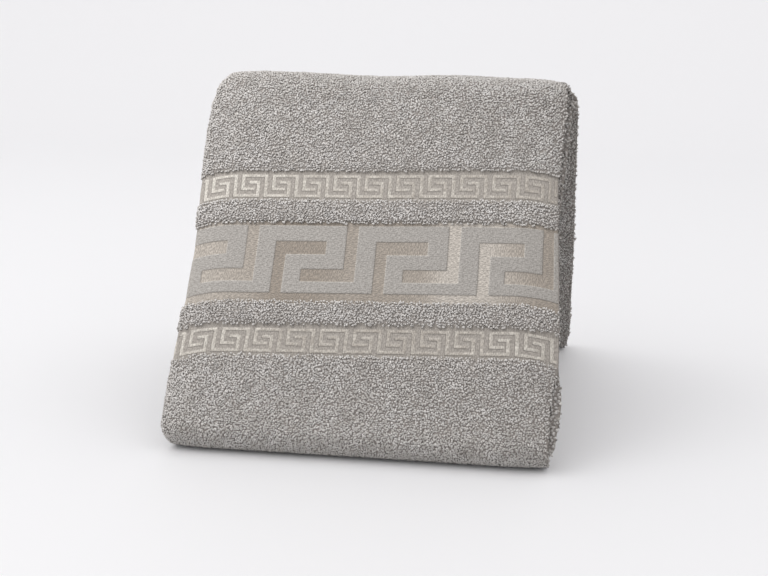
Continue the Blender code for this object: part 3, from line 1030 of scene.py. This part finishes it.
def loop_points(u, v, side, spacing, draw):
    """The points of every loop: an end, its rings of corners, and its other end; and their lift."""
    root = fold(u, v, side * PILE_ROOT)
    up = unit(fold(u, v, side * (PILE_ROOT + NEAR)) - root)
    sideways = fold(u + NEAR, v, side * PILE_ROOT) - root
    sideways = unit(sideways - up * np.sum(sideways * up, axis=1, keepdims=True))
    forward = np.cross(up, sideways)
    along_cloth = unit(fold(u, v + NEAR, side * PILE_ROOT) - root)
    turn = draw.uniform(0, math.pi, u.size)[:, None]
    along = sideways * np.cos(turn) + forward * np.sin(turn)
    beside = forward * np.cos(turn) - sideways * np.sin(turn)
    size = (spacing / FINE_SPACING) ** SIZE_GROWTH * draw.uniform(*SIZES, u.size)[:, None]
    rise = LOOP_RISE * draw.uniform(*RISES, u.size) * (1 + RUFFLE_RISE * ruffle(u, v, 0))
    rise = rise[:, None]
    hang, edge_lean = beside_bands(v)
    lean = beside * draw.normal(0, LOOP_LEAN, u.size)[:, None]
    lean += (up * up[:, 2:] - np.array([0.0, 0.0, 1.0])) * hang + along_cloth * edge_lean
    lean += sideways * (RUFFLE_LEAN * ruffle(u, v, 2))[:, None]
    lean += forward * (RUFFLE_LEAN * ruffle(u, v, 4))[:, None]
    lean += sideways * over_selvedge(u)
    twist = draw.uniform(-1, 1, u.size)[:, None] * LOOP_TWIST
    points, lifts = [], []
    for ring in range(LOOP_RINGS + 2):
        angle = math.pi * ring / (LOOP_RINGS + 1)
        high, wide = math.sin(angle), -math.cos(angle)
        middle = root + along * LOOP_SPAN * size * wide + up * (rise * high - LOOP_SINK)
        middle = middle + lean * high + beside * twist * math.sin(2 * angle)
        if ring in (0, LOOP_RINGS + 1):
            points.append(middle[:, None])
            lifts.append(np.zeros((u.size, 1)))
            continue
        way = unit(along * LOOP_SPAN * size * high + (up * rise + lean) * -wide)
        flank = unit(np.cross(up, way))
        crown = np.cross(way, flank)
        yarn = LOOP_YARN * size * (YARN_AT_ROOT + YARN_SWELL * high)
        for corner in range(LOOP_CORNERS):
            angle_round = math.tau * (corner + 0.25) / LOOP_CORNERS
            spoke = flank * math.cos(angle_round) + crown * math.sin(angle_round)
            points.append((middle + yarn * spoke)[:, None])
            # The lift sets each point's painted shade: light at the crown, darker down the sides and at the
            # ends
            lifts.append(np.full((u.size, 1), high * (0.5 + 0.5 * math.sin(angle_round))))
    return np.concatenate(points, axis=1), np.concatenate(lifts, axis=1)


def loop_faces(corners, rings):
    """The faces of one closed loop, as numbers of its points."""
    faces = []
    last = 1 + corners * rings
    for corner in range(corners):
        beside = (corner + 1) % corners
        faces.append((0, 1 + beside, 1 + corner))
        for ring in range(rings - 1):
            start = 1 + corners * ring
            above = start + corners
            faces.append((start + corner, start + beside, above + beside, above + corner))
        faces.append((last, last - corners + corner, last - corners + beside))
    return faces


def loop_mesh(name, points, lifts, own, faces):
    """All the loops as one mesh."""
    count, size = points.shape[:2]
    mesh = bpy.data.meshes.new(name)
    mesh.vertices.add(count * size)
    mesh.vertices.foreach_set("co", points.ravel())
    pattern = np.concatenate([np.array(face) for face in faces])
    totals = np.array([len(face) for face in faces])
    corners = (np.arange(count)[:, None] * size + pattern).ravel()
    mesh.loops.add(corners.size)
    mesh.loops.foreach_set("vertex_index", corners)
    mesh.polygons.add(count * len(faces))
    starts = np.concatenate([[0], np.cumsum(np.tile(totals, count))[:-1]])
    mesh.polygons.foreach_set("loop_start", starts)
    mesh.update(calc_edges=True)
    store(mesh, "lift", lifts.ravel())
    store(mesh, "own", np.repeat(own, size))
    store(mesh, "clear_mm", np.clip(points[..., 2].ravel() * 1000, 0, CLEAR_SHOWN_MM))
    mesh.shade_smooth()
    return mesh


def pile(name, patches, spacing, seed):
    """A piece of pile over some patches of the cloth: u from and to, v from and to, side."""
    draw = np.random.default_rng(seed)
    all_points, all_lifts, all_own = [], [], []
    for u_range, v_range, side in patches:
        u, v = scattered(u_range, v_range, side, spacing, draw)
        points, lifts = loop_points(u, v, side, spacing, draw)
        all_points.append(points)
        all_lifts.append(lifts)
        all_own.append(np.clip(draw.uniform(0, 1, u.size) + RUFFLE_SHADE * ruffle(u, v, 5), 0, 1))
    points, lifts = np.concatenate(all_points), np.concatenate(all_lifts)
    points[..., 2] = np.maximum(points[..., 2], ABOVE_FLOOR)
    # Loops close to the floor take their painted side shade all over
    lifts = lifts * soft_step(points[..., 2] / SHADED_BELOW)
    faces = loop_faces(LOOP_CORNERS, LOOP_RINGS)
    mesh = loop_mesh(name, points, lifts, np.concatenate(all_own), faces)
    mesh.materials.append(terry)
    piece = bpy.data.objects.new(name, mesh)
    bpy.context.scene.collection.objects.link(piece)
    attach(piece, "root")
    return piece


terry = terry_material()
whole = (SELVEDGE, PAST_FOLD)
whole_length = (0.0, CLOTH_LENGTH)
face_edge = (SELVEDGE, EDGE_STRIP)
back_edge = (CLOTH_WIDTH - EDGE_STRIP, CLOTH_WIDTH - SELVEDGE)
inside_front = [(whole, (INSIDE_TURN, CLOTH_LENGTH), 1), (whole, (0.0, TUCK), 1)]
edges = [(face_edge, whole_length, -1), (back_edge, whole_length, -1), (back_edge, whole_length, 1)]
pile_pieces = [
    pile("pile_front_foot", [(whole, (TUCK, BORDER_START), 1)], FINE_SPACING, 11),
    pile("pile_front_leg", [(whole, (BORDER_START, FRONT_END), 1)], FINE_SPACING, 12),
    pile("pile_ridge", [(whole, (FRONT_END, RIDGE_END), 1)], FINE_SPACING, 13),
    pile("pile_back_leg", [(whole, (RIDGE_END, BACK_END), 1)], COARSE_SPACING, 14),
    pile("pile_inside_back", [((RIM, PAST_FOLD), (BACK_END, INSIDE_TURN), 1)], INSIDE_BACK_SPACING, 15),
    pile("pile_inside_rim", [((SELVEDGE, RIM), (BACK_END, INSIDE_TURN), 1)], RIM_SPACING, 18),
    pile("pile_inside_front", inside_front, INSIDE_FRONT_SPACING, 16),
    pile("pile_edges", edges, COARSE_SPACING, 17),
]


# The sewing of the hems
# Each end of the cloth is turned under twice and held by one row of lockstitch in a pale cotton
# thread, whose stitches sink a little into the weave.
STITCH_PITCH = 0.0032
STITCH_LENGTH = 0.0023
STITCH_THREAD = 0.00026
STITCH_FROM_END = 0.0105
STITCH_CORNERS = 4
STITCH_RINGS = 2
THREAD_PALE = linear(205, 199, 191)
THREAD_DARK = 0.8
THREAD_GRAIN = 3000.0
THREAD_FIBRES = 4000.0
THREAD_RELIEF = 0.0001

# A stitch along its length: place in half lengths, width and height above the weave in threads
STITCH_SHAPE = [(-1.0, 0.0, -0.6), (-0.6, 1.0, 0.3), (0.6, 1.0, 0.3), (1.0, 0.0, -0.6)]


def stitch_points(u, v):
    """The points of stitches that run across the cloth on its face."""
    middle = fold(u, v, HEM_HALF)
    up = unit(fold(u, v, HEM_HALF + NEAR) - middle)
    along = unit(fold(u + NEAR, v, HEM_HALF) - middle)
    flank = np.cross(up, along)
    points = []
    for place, width, proud in STITCH_SHAPE:
        centre = middle + along * STITCH_LENGTH / 2 * place + up * (STITCH_THREAD * proud)
        if width == 0:
            points.append(centre[:, None])
            continue
        for corner in range(STITCH_CORNERS):
            angle = math.tau * corner / STITCH_CORNERS
            spoke = flank * math.cos(angle) + up * math.sin(angle)
            points.append((centre + STITCH_THREAD * width * spoke)[:, None])
    return np.concatenate(points, axis=1)


def thread_material():
    thread = Shades("hem thread", roughness=0.6, sheen=0.1, sheen_tint=THREAD_PALE)
    grain = thread.between(thread.noise(THREAD_GRAIN), *GRAIN_SPREAD)
    thread.paint(thread.mix(grain, shaded(THREAD_PALE, THREAD_DARK), THREAD_PALE))
    thread.bump(thread.noise(THREAD_FIBRES), THREAD_RELIEF)
    return thread.material


stitch_u = np.arange(SELVEDGE, CLOTH_WIDTH - SELVEDGE, STITCH_PITCH)
stitch_rows = (STITCH_FROM_END, CLOTH_LENGTH - STITCH_FROM_END)
stitch_places = np.concatenate([
    stitch_points(stitch_u, np.full(stitch_u.size, row)) for row in stitch_rows
])
stitch_lifts = np.ones(stitch_places.shape[:2])
stitch_own = np.ones(len(stitch_places))
stitch_faces = loop_faces(STITCH_CORNERS, STITCH_RINGS)
stitch_mesh = loop_mesh("hem_stitches", stitch_places, stitch_lifts, stitch_own, stitch_faces)
stitch_mesh.materials.append(thread_material())
stitches = bpy.data.objects.new("hem_stitches", stitch_mesh)
bpy.context.scene.collection.objects.link(stitches)
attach(stitches, "root")


# The studio
# A pale floor runs up behind the towel in one sweep. A wide soft lamp stands at the upper left, and a
# nearer one hangs over the towel's left shoulder and lights the towel alone.
FLOOR_HALF = 4.0
SWEEP_START = 1.6
SWEEP_RADIUS = 1.2
SWEEP_STEPS = 16
WALL_TOP = 3.5
FLOOR_WHITE = linear(245, 245, 246)
FLOOR_ROUGHNESS = 0.6
KEY_LAMP = {"place": (-1.5, -0.75, 1.9), "target": (0, 0, 0.1), "side": 1.6, "power": 9.8}
NEAR_LAMP = {"place": (-0.50, -0.24, 1.12), "target": (0, 0, 0.12), "side": 0.7, "power": 9.6}
SKY_WHITE = linear(252, 251, 252)
SKY_STRENGTH = 0.955


def studio_floor():
    profile = [(-FLOOR_HALF, 0.0), (SWEEP_START, 0.0)]
    for step in range(1, SWEEP_STEPS + 1):
        angle = math.pi / 2 * step / SWEEP_STEPS
        back, up = math.sin(angle), 1 - math.cos(angle)
        profile.append((SWEEP_START + SWEEP_RADIUS * back, SWEEP_RADIUS * up))
    profile.append((SWEEP_START + SWEEP_RADIUS, WALL_TOP))
    sweep = bmesh.new()
    sides = [[sweep.verts.new((x, y, z)) for y, z in profile] for x in (-FLOOR_HALF, FLOOR_HALF)]
    for number in range(len(profile) - 1):
        left, right = sides
        sweep.faces.new((left[number], right[number], right[number + 1], left[number + 1]))
    mesh = bpy.data.meshes.new("floor")
    sweep.to_mesh(mesh)
    sweep.free()
    mesh.shade_smooth()
    material = bpy.data.materials.new("pale floor")
    material.use_nodes = True
    shader = material.node_tree.nodes["Principled BSDF"]
    shader.inputs["Base Color"].default_value = (*FLOOR_WHITE, 1.0)
    shader.inputs["Roughness"].default_value = FLOOR_ROUGHNESS
    mesh.materials.append(material)
    return bpy.data.objects.new("floor", mesh)


def soft_lamp(name, place, target, side, power):
    light = bpy.data.lights.new(name, "AREA")
    light.shape = "SQUARE"
    light.size = side
    light.energy = power
    lamp = bpy.data.objects.new(name, light)
    lamp.location = place
    bpy.context.scene.collection.objects.link(lamp)
    point_at(lamp, Vector(target))
    return lamp


floor = studio_floor()
bpy.context.scene.collection.objects.link(floor)
soft_lamp("key lamp", **KEY_LAMP)
near_lamp = soft_lamp("near lamp", **NEAR_LAMP)
not_lit = bpy.data.collections.new("floor out of the near lamp")
not_lit.objects.link(floor)
not_lit.collection_objects[0].light_linking.link_state = "EXCLUDE"
near_lamp.light_linking.receiver_collection = not_lit

world = bpy.data.worlds.new("studio light")
world.use_nodes = True
sky = world.node_tree.nodes["Background"]
sky.inputs["Color"].default_value = (*SKY_WHITE, 1.0)
sky.inputs["Strength"].default_value = SKY_STRENGTH
bpy.context.scene.world = world
bpy.context.scene.view_settings.view_transform = "Standard"
